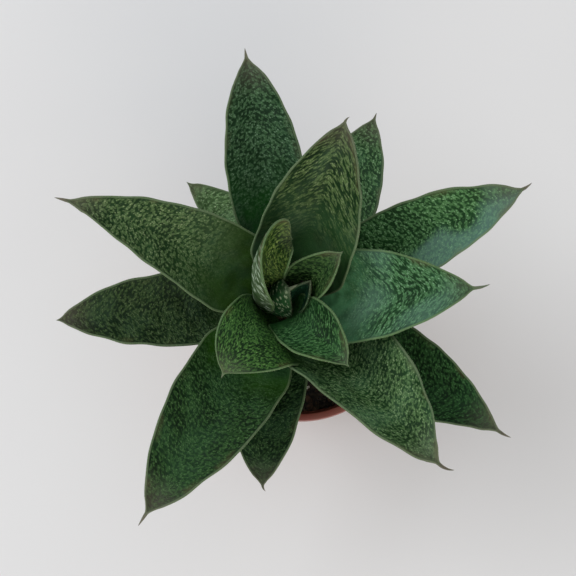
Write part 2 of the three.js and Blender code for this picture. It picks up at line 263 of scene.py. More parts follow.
@dataclass(frozen=True)
class LeafFinish:
    """The skin of a leaf: pale raised dashes on dark green, a smooth foot and a horny margin.

    Colours are as they look in full light, and tint_and_light multiplies all of them but under_pale,
    sun, margin and tip; on some leaves it also lightens or darkens them as painted light and shade.
    dash, wart and knob are sizes in mm, across and along the leaf, of the dashes, of the fine warts
    on them, and of the underside's warts. chevron is how steeply the rows of dashes climb from the
    midrib, at the foot and at the tip. cover is how much of the skin they fill, from 0 to 1, sparse
    the level of the noise from which they stand where cover is 0, gain how far cover lowers that,
    and soft how slowly they rise. bare is how far up the blade the foot stays smooth, and band the
    width of the horny margin in mm. bloom_and_sheen is how much of a bluish coat lies on parts of
    the skin, from 0 to 1: partly waxy, and partly a painted sheen that stands for reflected light.
    sheen_side is how much more of it lies with each mm across the leaf, so that the painted sheen
    gathers towards one margin. blush is the red-brown that the sun has left within sun_reach mm of
    the margins. relief is the height of the dashes in mm. glow is how much light passes through the
    skin, and glow_reach how far in mm. The three scales are those of the noises, for each mm.
    """

    dark: tuple = (10, 34, 10)
    dark_far: tuple = (18, 46, 18)
    pale: tuple = (62, 92, 54)
    grit: tuple = (112, 136, 102)
    foot: tuple = (40, 78, 12)
    margin: tuple = (104, 122, 88)
    tip: tuple = (104, 98, 84)
    sun: tuple = (88, 66, 46)
    under: tuple = (62, 90, 50)
    under_pale: tuple = (134, 152, 118)
    wax_and_sheen: tuple = (64, 100, 76)
    # Multiplies the tones: the leaf's own tone, and on some leaves painted light or shade as well
    tint_and_light: tuple = (1.0, 1.0, 1.0)
    dash: tuple = (0.8, 0.7)
    chevron: tuple = (0.15, 0.5)
    cover: float = 0.85
    bare: float = 0.22
    band: float = 0.18
    bloom_and_sheen: float = 0.2
    sheen_side: float = 0.0
    blush: float = 0.35
    sun_reach: float = 3.5
    wart: tuple = (0.8, 0.75)
    knob: tuple = (1.7, 1.3)
    sparse: float = 0.56
    gain: float = 0.2
    soft: float = 0.2
    relief: float = 0.3
    patch_scale: float = 0.1
    grain_scale: float = 2.4
    wax_sheen_scale: float = 0.05
    roughness: float = 0.5
    specular: float = 0.12
    glow: float = 0.05
    glow_reach: float = 2.0

    def hue(self, colour: tuple) -> tuple:
        """Turns one of the colours into a tinted linear one."""
        return (*(c * k for c, k in zip(tone(*colour), self.tint_and_light)), 1.0)

    def material(self, name: str) -> bpy.types.Material:
        """Wires the material.

        Args:
            name: The material's name.

        Returns:
            The material, which reads the attributes skin_place and skin_zone of a leaf.
        """
        s = Shader(name)
        place = s.attribute("skin_place")
        along, edge, under = s.split(s.attribute("skin_zone"))
        patch = s.noise(place, self.patch_scale, 2.0)
        grain = s.noise(place, self.grain_scale, 2.0)
        ragged = s.between(grain, -0.1, 0.1)
        foot_line = s.plus(along, s.between(patch, -0.1, 0.1))
        clear_foot = s.ramp(foot_line, self.bare * 0.5, self.bare * 1.6)
        clear_edge = s.ramp(edge, self.band * 0.8, self.band + 1.0)
        shown = s.times(clear_foot, clear_edge)
        raised = s.times(self.dashes(s, place, patch, ragged), shown)
        # Small warts stand on the dashes, and pits lie between them, sunk in the relief and darkened
        # towards the dark ground as painted shade
        warts = s.cells(s.scaled(place, (1 / self.wart[0], 1 / self.wart[1], 1.0)), 1.0)
        spot = s.ramp(warts.outputs["Distance"], 0.5, 0.1)
        wart = s.times(spot, raised)
        pit_and_shade = s.times(s.ramp(warts.outputs["Distance"], 0.35, 0.75), shown)
        bright = s.between(s.split(warts.outputs["Color"])[0], 0.1, 0.8)
        ground = s.mix(s.ramp(patch, 0.35, 0.65), self.hue(self.dark), self.hue(self.dark_far))
        foot = s.mix(s.ramp(patch, 0.38, 0.75), self.hue(self.foot), self.hue(self.dark_far))
        foot = s.mix(s.ramp(grain, 0.4, 1.5), foot, self.hue(self.pale))
        ground = s.mix(clear_foot, foot, ground)
        top = s.mix(s.between(raised, 0.0, 0.85), ground, self.hue(self.pale))
        top = s.mix(s.times(pit_and_shade, 0.4), top, self.hue(self.dark))
        top = s.mix(s.times(wart, bright), top, self.hue(self.grit))
        # A bluish coat lies in patches and towards one side: partly waxy, partly a painted sheen for
        # reflected light
        beside = s.times(s.split(place)[0], self.sheen_side)
        wax_sheen_film = s.plus(s.noise(place, self.wax_sheen_scale, 1.0), beside)
        wax_sheen_film = s.ramp(wax_sheen_film, 0.42, 0.72)
        top = s.mix(s.times(wax_sheen_film, self.bloom_and_sheen), top, self.hue(self.wax_and_sheen))
        # The underside has larger and paler warts on lighter green
        spread = s.scaled(place, (1 / self.knob[0], 1 / self.knob[1], 1.0))
        knobs = s.cells(spread, 1.0).outputs["Distance"]
        knob = s.times(s.ramp(s.plus(knobs, ragged), 0.5, 0.2), clear_foot)
        low_ground = s.mix(s.ramp(patch, 0.3, 0.7), self.hue(self.under), ground)
        colour = s.mix(under, top, s.mix(knob, low_ground, tone(*self.under_pale)))
        # The sun's red-brown, the horny margin and the tip
        sunned = s.times(s.ramp(edge, self.sun_reach, 0.3), s.ramp(patch, 0.5, 0.66))
        sunned = s.times(sunned, s.ramp(along, 0.3, 0.8))
        colour = s.mix(s.times(sunned, self.blush), colour, tone(*self.sun))
        horny = s.ramp(s.plus(edge, ragged), self.band + 0.3, self.band * 0.4)
        horny = s.times(horny, s.between(grain, 0.2, 1.0))
        colour = s.mix(horny, colour, tone(*self.margin))
        tip_line = s.plus(along, s.between(grain, -0.03, 0.03))
        greyed = s.times(s.ramp(tip_line, 0.8, 1.0), 0.4)
        greyed = s.sum("MAXIMUM", greyed, s.ramp(tip_line, 0.97, 1.03))
        colour = s.mix(greyed, colour, tone(*self.tip))
        s.set("Base Color", colour)
        relief = s.plus(s.times(raised, 0.5), s.times(wart, 0.5))
        relief = s.mix(under, relief, knob)
        relief = s.sum("SUBTRACT", relief, s.times(pit_and_shade, 0.25))
        s.bump(s.plus(relief, s.times(grain, 0.2)), self.relief, 0.9)
        s.set("Roughness", s.between(raised, self.roughness - 0.04, self.roughness + 0.1))
        s.set("Specular IOR Level", self.specular)
        s.set("Subsurface Weight", self.glow)
        s.set("Subsurface Radius", (0.4, 1.0, 0.3))
        s.set("Subsurface Scale", self.glow_reach * MM)
        return s.material

    def dashes(self, s: Shader, place: Feed, patch: Feed, ragged: Feed) -> Socket:
        """Wires the raised dashes: dots run together by a noise, ragged at their edges and patchy.

        Args:
            s: The material being wired.
            place: The place on the skin.
            patch: A slow noise that makes the dashes denser and thinner.
            ragged: A fine noise about 0 that frays their edges.

        Returns:
            How far the skin is raised, from 0 to 1.
        """
        across, rows = self.dash
        spread = s.scaled(place, (0.5 / across, 0.5 / rows, 1.0))
        weave = s.plus(s.noise(spread, 1.0, 1.5), ragged)
        dots = s.cells(spread, 1.3).outputs["Distance"]
        level = s.sum("SUBTRACT", weave, s.between(dots, -0.22, 0.2))
        level = s.plus(level, s.between(patch, -0.12, 0.12))
        start = self.sparse - self.gain * self.cover
        return s.ramp(level, start, start + self.soft)


@dataclass(frozen=True)
class ToothFinish:
    """The horny teeth along a margin: cream, with darker patches."""

    horn: tuple = (176, 178, 150)
    shade: tuple = (120, 130, 96)

    def material(self, name: str) -> bpy.types.Material:
        """Wires the material and returns it."""
        s = Shader(name)
        patch = s.noise(s.place(), 1 / (3 * MM), 1.0)
        s.set("Base Color", s.mix(s.ramp(patch, 0.35, 0.65), tone(*self.horn), tone(*self.shade)))
        s.set("Roughness", s.between(patch, 0.35, 0.55))
        return s.material


@dataclass(frozen=True)
class LeafShape:
    """How one leaf grows. The values are those of its solid in the frame.

    heading is the way that the leaf leaves the stem, seen from above and counted from +X to +Y,
    and sway turns it further towards the tip. foot is the distance from the stem's axis and the
    height, and turn moves the foot round the stem. rise, roll and cup are given at even steps
    from the foot to the tip: the midrib's slope, the turn about the midrib, and how far each
    margin is folded up. base is the width at the foot as a share of the full width, belly is
    where the leaf is widest, and taper is how blunt it is beyond that. lean moves the width from
    one side of the midrib to the other. awn is the length of the spine at the tip, which hook
    bends sideways.
    """

    heading: float
    foot: Pair
    blade: float
    rise: tuple[float, ...]
    cup: tuple[float, ...]
    width: float
    belly: float
    taper: float = 2.0
    sway: float = 0.0
    turn: float = 0.0
    hook: float = 0.0
    lean: float = 0.0
    roll: tuple[float, ...] = (0.0, 0.0, 0.0)
    base: float = 0.25
    awn: float = 4.0
    thick: float = 6.0

    PATH_STEPS = 480
    DRAWN_FROM = 0.95
    DRAWN_BY = 0.35

    @property
    def length(self) -> float:
        """The length along the midrib in mm, with the awn."""
        return self.blade + self.awn

    def half_width(self, s: np.ndarray) -> np.ndarray:
        """Gives half of the blade's width in mm where it is s blades from the foot."""
        swell = np.sin(np.pi / 2 * np.clip(s / self.belly, 0, 1))
        narrowing = np.clip((s - self.belly) / (1 - self.belly), 0, 1) ** self.taper
        share = np.where(s < self.belly, self.base + (1 - self.base) * swell, 1 - narrowing)
        drawn_out = np.clip((s - self.DRAWN_FROM) / (1 - self.DRAWN_FROM), 0, 1)
        return self.width / 2 * share * (1 - self.DRAWN_BY * drawn_out)

    def direction(self, distance: np.ndarray) -> tuple[np.ndarray, np.ndarray]:
        """Gives the way that the midrib runs.

        Args:
            distance: How far from the foot along the midrib, in mm.

        Returns:
            The unit vectors forward along the midrib and level to its side, one row a distance.
        """
        along = np.minimum(distance / self.blade, 1)
        past = np.maximum(distance - self.blade, 0) / self.awn
        heading = np.radians(self.heading + self.sway * along**2 + self.hook * past)
        rise = np.radians(bend(self.rise, along))
        level = np.cos(rise)
        forward = np.stack([level * np.cos(heading), level * np.sin(heading), np.sin(rise)], 1)
        side = np.stack([-np.sin(heading), np.cos(heading), np.zeros_like(heading)], 1)
        return forward, side

    def midrib(self, distance: np.ndarray) -> np.ndarray:
        """Gives the points on the midrib, in mm, at distances from the foot in mm."""
        step = self.length / self.PATH_STEPS
        middles = (np.arange(self.PATH_STEPS) + 0.5) * step
        forward, _ = self.direction(middles)
        azimuth = math.radians(self.heading + self.turn)
        radius, height = self.foot
        plan = stem_axis(height) + radius * np.array([math.cos(azimuth), math.sin(azimuth)])
        path = np.vstack([[*plan, height], forward * step]).cumsum(axis=0)
        marks = np.arange(self.PATH_STEPS + 1) * step
        return np.stack([np.interp(distance, marks, path[:, i]) for i in range(3)], 1)


@dataclass
class Leaf:
    """One leaf: a closed skin over its upper face, margins and keeled underside, and its teeth.

    Sizes are in mm. cell is how far apart the skin's rings and points are. The waves are the
    shortest and longest of those that make the skin uneven, and fade is how far that unevenness
    is held back at the foot and at the tip. Where half the width is below full_drift, the margins
    drift less. tooth_span is where the teeth start and end, in blades from the foot, tooth_sizes
    the smallest and largest as shares of the full size, and tooth_lean how far they point forwards.
    """

    name: str
    shape: LeafShape
    finish: LeafFinish
    part: Part
    seed: int
    cell: float = 0.75
    bead_cells: int = 4
    margin_thickness: float = 0.8
    channel_power: float = 1.5
    keel_power: float = 1.7
    thinning: float = 0.6
    least_depth: float = 0.25
    depth_share: float = 0.9
    awn_half_width: Pair = (0.34, 0.12)
    closing: float = 4.0
    unevenness: float = 0.16
    wavy_margin: float = 0.22
    full_drift: float = 6.0
    margin_ridge: float = 0.08
    ridge_width: float = 0.7
    broad_waves: Pair = (7, 18)
    lump_waves: Pair = (2.2, 4.5)
    margin_waves: Pair = (9, 26)
    lump_share: float = 0.3
    fade: Pair = (6, 8)
    tooth_gap: float = 1.0
    tooth_height: float = 0.5
    tooth_radius: float = 0.24
    tooth_point: float = 0.03
    tooth_sunk: float = 0.1
    tooth_stray: float = 0.3
    tooth_span: Pair = (0.2, 0.97)
    tooth_sizes: Pair = (0.6, 1.15)
    tooth_lean: float = 0.35

    # How far apart the margins, the two faces and the leaves read the waves and the patterns
    SIDE_SHIFT = 40
    FACE_SHIFT = 60
    PATTERN_SHIFT = 90
    LEAF_SHIFT = 7.0

    # How blunt the rows of dashes are at the midrib, and how close points are merged
    CHEVRON_ROUND = 2
    MERGED = 0.0005

    def section_walk(self) -> tuple[np.ndarray, np.ndarray]:
        """Walks once round a section, starting on the upper face at its clockwise margin.

        Returns:
            For each point, its place across from -1 to 1, and how far it has turned from the
            upper face to the underside, from 0 to 1.
        """
        count = max(12, round(self.shape.width / self.cell))
        even = np.linspace(-1, 1, count + 1)
        face = (even + np.sin(np.pi / 2 * even)) / 2
        bead = np.arange(1, self.bead_cells) / self.bead_cells
        across = [face, np.ones_like(bead), face[::-1], -np.ones_like(bead), face[:1]]
        turned = [np.zeros_like(face), bead, np.ones_like(face), bead[::-1], np.zeros(1)]
        return np.concatenate(across), np.concatenate(turned)

    def frame_at(self, distance: np.ndarray) -> tuple[np.ndarray, np.ndarray, np.ndarray]:
        """Gives the midrib's points, and the directions across and off the leaf there.

        Args:
            distance: How far from the foot along the midrib, in mm.

        Returns:
            The points in mm, then the unit vectors across and off the leaf, one row a distance.
        """
        forward, side = self.shape.direction(distance)
        normal = np.cross(forward, side)
        along = np.minimum(distance / self.shape.blade, 1)
        roll = np.radians(bend(self.shape.roll, along))[:, None]
        across = side * np.cos(roll) + normal * np.sin(roll)
        off = normal * np.cos(roll) - side * np.sin(roll)
        return self.shape.midrib(distance), across, off

    def skin_points(self, distance: np.ndarray, v: np.ndarray, turned: np.ndarray) -> np.ndarray:
        """Works out the skin, one ring of points for each distance.

        Args:
            distance: How far from the foot along the midrib, in mm.
            v: Each point's place across, from -1 to 1.
            turned: How far it has turned from the upper face to the underside.

        Returns:
            The points in mm, indexed by distance and by place in the ring.
        """
        shape = self.shape
        along = np.minimum(distance / shape.blade, 1)
        past = np.maximum(distance - shape.blade, 0) / shape.awn
        cup = np.radians(bend(shape.cup, along))[:, None]
        first, last = self.awn_half_width
        awn_width = first + (last - first) * past
        half = np.hypot(shape.half_width(along), awn_width)[:, None]
        thinned = shape.thick * (1 - self.thinning * along**1.5)
        depth = np.minimum(thinned[:, None], self.least_depth + self.depth_share * half)
        margin = np.minimum(self.margin_thickness, depth)
        reach, way = np.abs(v)[None, :], np.sign(v)[None, :]
        wide = half * np.cos(cup) * v * (1 + shape.lean * way)
        high = half * np.sin(cup) * reach**self.channel_power
        slope = self.channel_power * np.tan(cup) * way * np.sqrt(reach)
        steep = np.hypot(slope, 1)
        out_x, out_y = -slope / steep, 1 / steep
        thick = margin + (depth - margin) * (1 - reach**self.keel_power)
        # On the margins the skin turns in a half circle from the upper face to the underside
        swing = np.pi * turned[None, :]
        on_bead = (turned > 0) & (turned < 1)
        lower = np.where(on_bead, (1 - np.cos(swing)) / 2, turned[None, :]) * thick
        bulge = np.where(on_bead, np.sin(swing) / 2 * margin * way, 0)
        x = wide - out_x * lower + out_y * bulge
        y = high - out_y * lower - out_x * bulge
        middle, across, off = self.frame_at(distance)
        waves = Waves(self.seed + 500, *self.margin_waves)
        drift = waves.at(way * self.SIDE_SHIFT, distance[:, None]) * reach**6
        x = x + self.wavy_margin * drift * way * np.minimum(1, half / self.full_drift)
        closed = np.sqrt(np.clip((shape.length - distance) / self.closing, 0, 1))
        closed = np.where(distance <= 0, 0, closed)[:, None]
        core = -depth / 2
        x, y = x * closed, core + (y - core) * closed
        offset = x[..., None] * across[:, None, :] + y[..., None] * off[:, None, :]
        return middle[:, None, :] + offset

    def relief(self, x: np.ndarray, y: np.ndarray, v: np.ndarray, turned: np.ndarray) -> np.ndarray:
        """Gives how far the skin swells outwards, in mm.

        Args:
            x: Places across the leaf in mm.
            y: Places along the leaf in mm.
            v: Each point's place across, from -1 to 1.
            turned: How far it has turned from the upper face to the underside.

        Returns:
            The swelling, indexed by distance and by place in the ring.
        """
        across = x + self.FACE_SHIFT * turned
        broad = Waves(self.seed, *self.broad_waves).at(across, y)
        lumps = Waves(self.seed + 100, *self.lump_waves, count=14).at(across, y)
        swell = self.unevenness * broad + self.lump_share * self.unevenness * lumps
        to_edge = np.abs(self.shape.half_width(np.minimum(y / self.shape.blade, 1)) - np.abs(x))
        ridge = self.margin_ridge * np.exp(-((to_edge / self.ridge_width) ** 2)) * (1 - turned)
        start, end = self.fade
        fade = smooth_step(0, start, y) * smooth_step(0, end, self.shape.length - y)
        return (swell * (1 - np.abs(v) ** 8) + ridge) * fade

    def build_skin(self) -> Piece:
        """Makes the closed skin and gives it the attributes that its finish reads."""
        shape = self.shape
        v, turned = self.section_walk()
        steps = round(shape.length / self.cell)
        distance = np.linspace(0, shape.length, steps + 1)
        points = self.skin_points(distance, v, turned)
        half = shape.half_width(np.minimum(distance / shape.blade, 1))[:, None]
        x = half * v[None, :]
        y = np.broadcast_to(distance[:, None], x.shape)
        turn = np.broadcast_to(turned[None, :], x.shape)
        ahead = np.gradient(points, axis=0)
        round_about = np.concatenate([points[:, -2:-1], points, points[:, 1:2]], axis=1)
        beside = round_about[:, 2:] - round_about[:, :-2]
        outward = np.cross(ahead, beside)
        outward /= np.maximum(np.linalg.norm(outward, axis=2, keepdims=True), 1e-9)
        points = points + outward * self.relief(x, y, v, turn)[..., None]
        points[0] = points[0].mean(axis=0)
        points[-1] = points[-1].mean(axis=0)
        share = y / shape.blade
        first, last = self.finish.chevron
        slant = first + (last - first) * share
        rows = y + slant * np.sqrt(x**2 + self.CHEVRON_ROUND**2)
        side_shift = self.PATTERN_SHIFT * (turn > 0.5)
        place = np.stack([x + side_shift, rows, self.LEAF_SHIFT * self.seed + 0 * x], 2)
        edge = np.maximum(half - np.abs(x), 0)
        zone = np.stack([share, edge, turn], 2)
        return self.skin_piece(points * MM, place, zone)

    def skin_piece(self, points: np.ndarray, place: np.ndarray, zone: np.ndarray) -> Piece:
        """Lays a closed grid over the skin's points.

        Args:
            points: The points in metres, indexed by distance and by place in the ring.
            place: The attribute skin_place at those points.
            zone: The attribute skin_zone at those points.

        Returns:
            The piece, with smooth faces that point outwards.
        """
        rings, around = points.shape[0] - 1, points.shape[1] - 1
        bm = bmesh.new()
        bm.loops.layers.uv.new("skin")
        bmesh.ops.create_grid(bm, x_segments=around, y_segments=rings, size=0.5, calc_uvs=True)
        mesh = bpy.data.meshes.new(self.name + "_skin")
        bm.to_mesh(mesh)
        count = len(mesh.vertices)
        flat = np.empty(count * 3, dtype=np.float32)
        mesh.vertices.foreach_get("co", flat)
        spots = flat.reshape(count, 3)
        column = np.rint((spots[:, 0] + 0.5) * around).astype(int)
        row = np.rint((spots[:, 1] + 0.5) * rings).astype(int)
        mesh.vertices.foreach_set("co", points[row, column].astype(np.float32).ravel())
        for name, values in (("skin_place", place), ("skin_zone", zone)):
            layer = mesh.attributes.new(name, "FLOAT_VECTOR", "POINT")
            layer.data.foreach_set("vector", values[row, column].astype(np.float32).ravel())
        bm.clear()
        bm.from_mesh(mesh)
        bmesh.ops.remove_doubles(bm, verts=bm.verts, dist=self.MERGED * MM)
        bmesh.ops.recalc_face_normals(bm, faces=bm.faces)
        bpy.data.meshes.remove(mesh)
        return finish_piece(bm, self.name + "_skin")

    def build_teeth(self) -> Piece:
        """Makes the small horny teeth that stand along both margins."""
        draw = np.random.default_rng(self.seed + 900)
        shape = self.shape
        bm = bmesh.new()
        for way in (-1.0, 1.0):
            first, last = (share * shape.blade for share in self.tooth_span)
            count = round((last - first) / self.tooth_gap)
            distance = np.linspace(first, last, count)
            stray = draw.uniform(-self.tooth_stray, self.tooth_stray, count)
            distance = distance + stray * self.tooth_gap
            ring = self.skin_points(distance, np.array([way, way]), np.array([0.0, 0.5]))
            heart = self.skin_points(distance, np.array([way, way]), np.array([0.0, 1.0])).mean(1)
            forward, _ = shape.direction(distance)
            for tip, middle, ahead in zip(ring[:, 1], heart, forward):
                out = Vector(tip - middle).normalized()
                out = (out + self.tooth_lean * Vector(ahead)).normalized()
                size = draw.uniform(*self.tooth_sizes)
                turn = Vector((0, 0, 1)).rotation_difference(out).to_matrix().to_4x4()
                seat = Vector(tip) - self.tooth_sunk * out
                bmesh.ops.create_cone(
                    bm, segments=5, cap_ends=True, depth=self.tooth_height * size * MM,
                    radius1=self.tooth_radius * size * MM, radius2=self.tooth_point * MM,
                    matrix=Matrix.Translation(seat * MM) @ turn,
                )
        bmesh.ops.recalc_face_normals(bm, faces=bm.faces)
        return finish_piece(bm, self.name + "_teeth")

    def build(self) -> list[Piece]:
        """Makes the leaf's pieces, dresses them and sets them on the root body."""
        skin, teeth = self.build_skin(), self.build_teeth()
        skin.data.materials.append(self.finish.material(self.name + "_skin"))
        teeth.data.materials.append(ToothFinish().material(self.name + "_teeth"))
        for piece in (skin, teeth):
            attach(piece, "root")
        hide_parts(self.name)
        return [skin, teeth]


def finish_piece(bm: bmesh.types.BMesh, name: str, smooth: bool = True) -> Piece:
    """Turns a bmesh into a piece and frees it.

    Args:
        bm: The bmesh.
        name: The piece's name.
        smooth: Whether its faces are shaded smooth.

    Returns:
        The piece, linked to the scene.
    """
    for face in bm.faces:
        face.smooth = smooth
    mesh = bpy.data.meshes.new(name)
    bm.to_mesh(mesh)
    bm.free()
    piece = bpy.data.objects.new(name, mesh)
    bpy.context.collection.objects.link(piece)
    return piece


def put_in_order(bm: bmesh.types.BMesh) -> None:
    """Sorts a shape's edges and faces by their points, since some operators shuffle them each run."""
    bm.verts.index_update()
    for parts in (bm.edges, bm.faces):
        ranked = sorted(parts, key=lambda part: sorted(vert.index for vert in part.verts))
        ranks = {part: rank for rank, part in enumerate(ranked)}
        parts.sort(key=ranks.get)


def spun(outline: list[Pair], steps: int, merged: float = 0.001) -> bmesh.types.BMesh:
    """Turns an outline about the vertical axis into a closed shape.

    Args:
        outline: Points of radius and height in mm, both ends on the axis.
        steps: How many sides the shape gets.
        merged: How close points are merged, in mm.

    Returns:
        The shape in metres, with its doubles merged and its faces pointing outwards.
    """
    bm = bmesh.new()
    verts = [bm.verts.new((radius * MM, 0, height * MM)) for radius, height in outline]
    edges = [bm.edges.new(pair) for pair in zip(verts, verts[1:])]
    bmesh.ops.spin(
        bm, geom=verts + edges, cent=(0, 0, 0), axis=(0, 0, 1), angle=2 * math.pi,
        steps=steps, use_merge=True,
    )
    bmesh.ops.remove_doubles(bm, verts=bm.verts, dist=merged * MM)
    put_in_order(bm)
    bmesh.ops.recalc_face_normals(bm, faces=bm.faces)
    return bm


def soften(bm: bmesh.types.BMesh, width: float, sharpest: float = 25.0) -> None:
    """Rounds a shape's sharp edges.

    Args:
        bm: The shape.
        width: How far the rounding reaches from the edge, in mm.
        sharpest: The angle in degrees past which an edge is rounded.
    """
    limit = math.radians(sharpest)
    sharp = [e for e in bm.edges if len(e.link_faces) == 2 and e.calc_face_angle() > limit]
    bmesh.ops.bevel(
        bm, geom=sharp, offset=width * MM, offset_type="OFFSET", segments=2, profile=0.5,
        affect="EDGES", material=-1,
    )


@dataclass(frozen=True)
class PlasticFinish:
    """Thin brown-red pot plastic: faint moulding streaks and dust."""

    body: tuple = (128, 60, 48)
    faded: tuple = (126, 68, 54)
    dust: tuple = (150, 116, 98)
    roughness: float = 0.46

    def material(self, name: str) -> bpy.types.Material:
        """Wires the material and returns it."""
        s = Shader(name)
        place = s.place()
        streaks = s.noise(s.scaled(place, (1.0, 1.0, 0.08)), 1 / (4 * MM), 3.0)
        patch = s.noise(place, 1 / (22 * MM), 3.0)
        specks = s.cells(place, 1 / (1.6 * MM)).outputs["Distance"]
        colour = s.mix(s.ramp(streaks, 0.35, 0.75), tone(*self.body), tone(*self.faded))
        dusty = s.times(s.ramp(patch, 0.5, 0.72), s.ramp(specks, 0.3, 0.1))
        colour = s.mix(s.times(dusty, 0.6), colour, tone(*self.dust))
        s.set("Base Color", colour)
        s.set("Roughness", s.between(patch, self.roughness - 0.08, self.roughness + 0.14))
        s.bump(s.noise(place, 1 / (0.5 * MM), 2.0), 0.02, 0.5)
        return s.material


@dataclass
class Pot:
    """A round nursery pot of thin plastic, its rim turned out and down, with holes in its floor."""

    height: float = 80.0
    rim_radius: float = 45.0
    base_radius: float = 31.3
    wall: float = 0.9
    floor: float = 1.0
    band_height: float = 9.0
    band_gap: float = 1.0
    groove: Pair = (17.0, 25.0)
    groove_height: float = 2.2
    groove_slope: float = 1.0
    drain_holes: int = 8
    drain_radius: float = 2.6
    line_heights: tuple[float, ...] = (22.0, 58.0)
    line_depth: float = 0.18
    line_reach: float = 0.5
    sides: int = 144
    rounding: float = 0.22
    finish: PlasticFinish = field(default_factory=PlasticFinish)

    def outside(self, height: float) -> float:
        """Gives the radius of the outside in mm at a height below the rim band."""
        top = self.rim_radius - self.wall - self.band_gap
        return self.base_radius + (top - self.base_radius) * height / self.height

    def inside(self, height: float) -> float:
        """Gives the radius of the inside in mm at a height above the floor."""
        return self.outside(height) - self.wall

    def outline(self) -> list[Pair]:
        """Gives the pot's outline from the axis, round the outside and back inside."""
        wall, slope, roof = self.wall, self.groove_slope, self.groove_height
        near, far = self.groove
        points = [(0, 0), (near, 0), (near + slope, roof), (far - slope, roof), (far, 0)]
        points += [(self.base_radius - wall, 0), (self.outside(wall), wall)]
        for height in self.line_heights:
            for step, depth in ((-1, 0.0), (0, self.line_depth), (1, 0.0)):
                level = height + step * self.line_reach
                points.append((self.outside(level) + depth, level))
        under = self.height - wall
        foot = self.height - self.band_height
        rim, lip = self.rim_radius, self.rim_radius - 2 * wall - self.band_gap
        points += [(self.outside(under), under), (rim - wall, under), (rim - wall, foot)]
        points += [(rim, foot), (rim, self.height), (lip, self.height)]
        points += [(self.inside(self.floor + wall), self.floor + wall)]
        points += [(self.inside(self.floor + wall) - wall, self.floor)]
        points += [(far + wall, self.floor), (far - slope + wall, roof + self.floor)]
        points += [(near + slope - wall, roof + self.floor), (near - wall, self.floor)]
        return points + [(0, self.floor)]

    def drains(self) -> Piece:
        """Makes the row of pegs that the drain holes are cut with."""
        bm = bmesh.new()
        ring = sum(self.groove) / 2
        for i in range(self.drain_holes):
            turn = Matrix.Rotation(2 * math.pi * i / self.drain_holes, 4, "Z")
            bmesh.ops.create_cone(
                bm, segments=32, cap_ends=True, radius1=self.drain_radius * MM,
                radius2=self.drain_radius * MM, depth=4 * self.groove_height * MM,
                matrix=turn @ Matrix.Translation((ring * MM, 0, self.groove_height * MM)),
            )
        return finish_piece(bm, "drains")

    def build(self) -> Piece:
        """Makes the pot, cuts its holes and dresses it."""
        bm = spun(self.outline(), self.sides)
        soften(bm, self.rounding)
        pot = finish_piece(bm, "pot_shell")
        cutter = self.drains()
        cut = pot.modifiers.new("drain_holes", "BOOLEAN")
        cut.object, cut.operation, cut.solver = cutter, "DIFFERENCE", "EXACT"
        graph = bpy.context.evaluated_depsgraph_get()
        holed = bpy.data.meshes.new_from_object(pot.evaluated_get(graph))
        pot.modifiers.clear()
        pot.data = holed
        bpy.data.objects.remove(cutter)
        pot.data.materials.clear()
        pot.data.materials.append(self.finish.material("pot_plastic"))
        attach(pot, "root")
        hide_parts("pot")
        return pot


@dataclass(frozen=True)
class EarthFinish:
    """Damp potting soil: almost black, with brown crumbs and paler fibres."""

    wet: tuple = (24, 19, 15)
    crumb: tuple = (66, 50, 38)
    fibre: tuple = (104, 82, 60)

    def material(self, name: str) -> bpy.types.Material:
        """Wires the material and returns it."""
        s = Shader(name)
        place = s.place()
        lumps = s.noise(place, 1 / (2.5 * MM), 4.0)
        fibres = s.noise(s.scaled(place, (1.0, 0.25, 1.0)), 1 / (0.9 * MM), 3.0)
        colour = s.mix(s.ramp(lumps, 0.4, 0.7), tone(*self.wet), tone(*self.crumb))
        colour = s.mix(s.ramp(fibres, 0.62, 0.75), colour, tone(*self.fibre))
        s.set("Base Color", colour)
        s.set("Roughness", s.between(lumps, 0.8, 1.0))
        s.bump(s.plus(lumps, s.times(fibres, 0.4)), 0.7, 0.9)
        return s.material


@dataclass(frozen=True)
class GrainFinish:
    """Loose grains in the soil, each a little lighter or darker."""

    light: tuple
    dark: tuple
    roughness: float = 0.85

    def material(self, name: str) -> bpy.types.Material:
        """Wires the material and returns it."""
        s = Shader(name)
        place = s.place()
        patch = s.noise(place, 1 / (1.8 * MM), 3.0)
        pits = s.noise(place, 1 / (0.25 * MM), 2.0)
        s.set("Base Color", s.mix(s.ramp(patch, 0.3, 0.7), tone(*self.dark), tone(*self.light)))
        s.set("Roughness", s.between(pits, self.roughness - 0.1, self.roughness + 0.1))
        s.bump(pits, 0.08, 0.8)
        return s.material


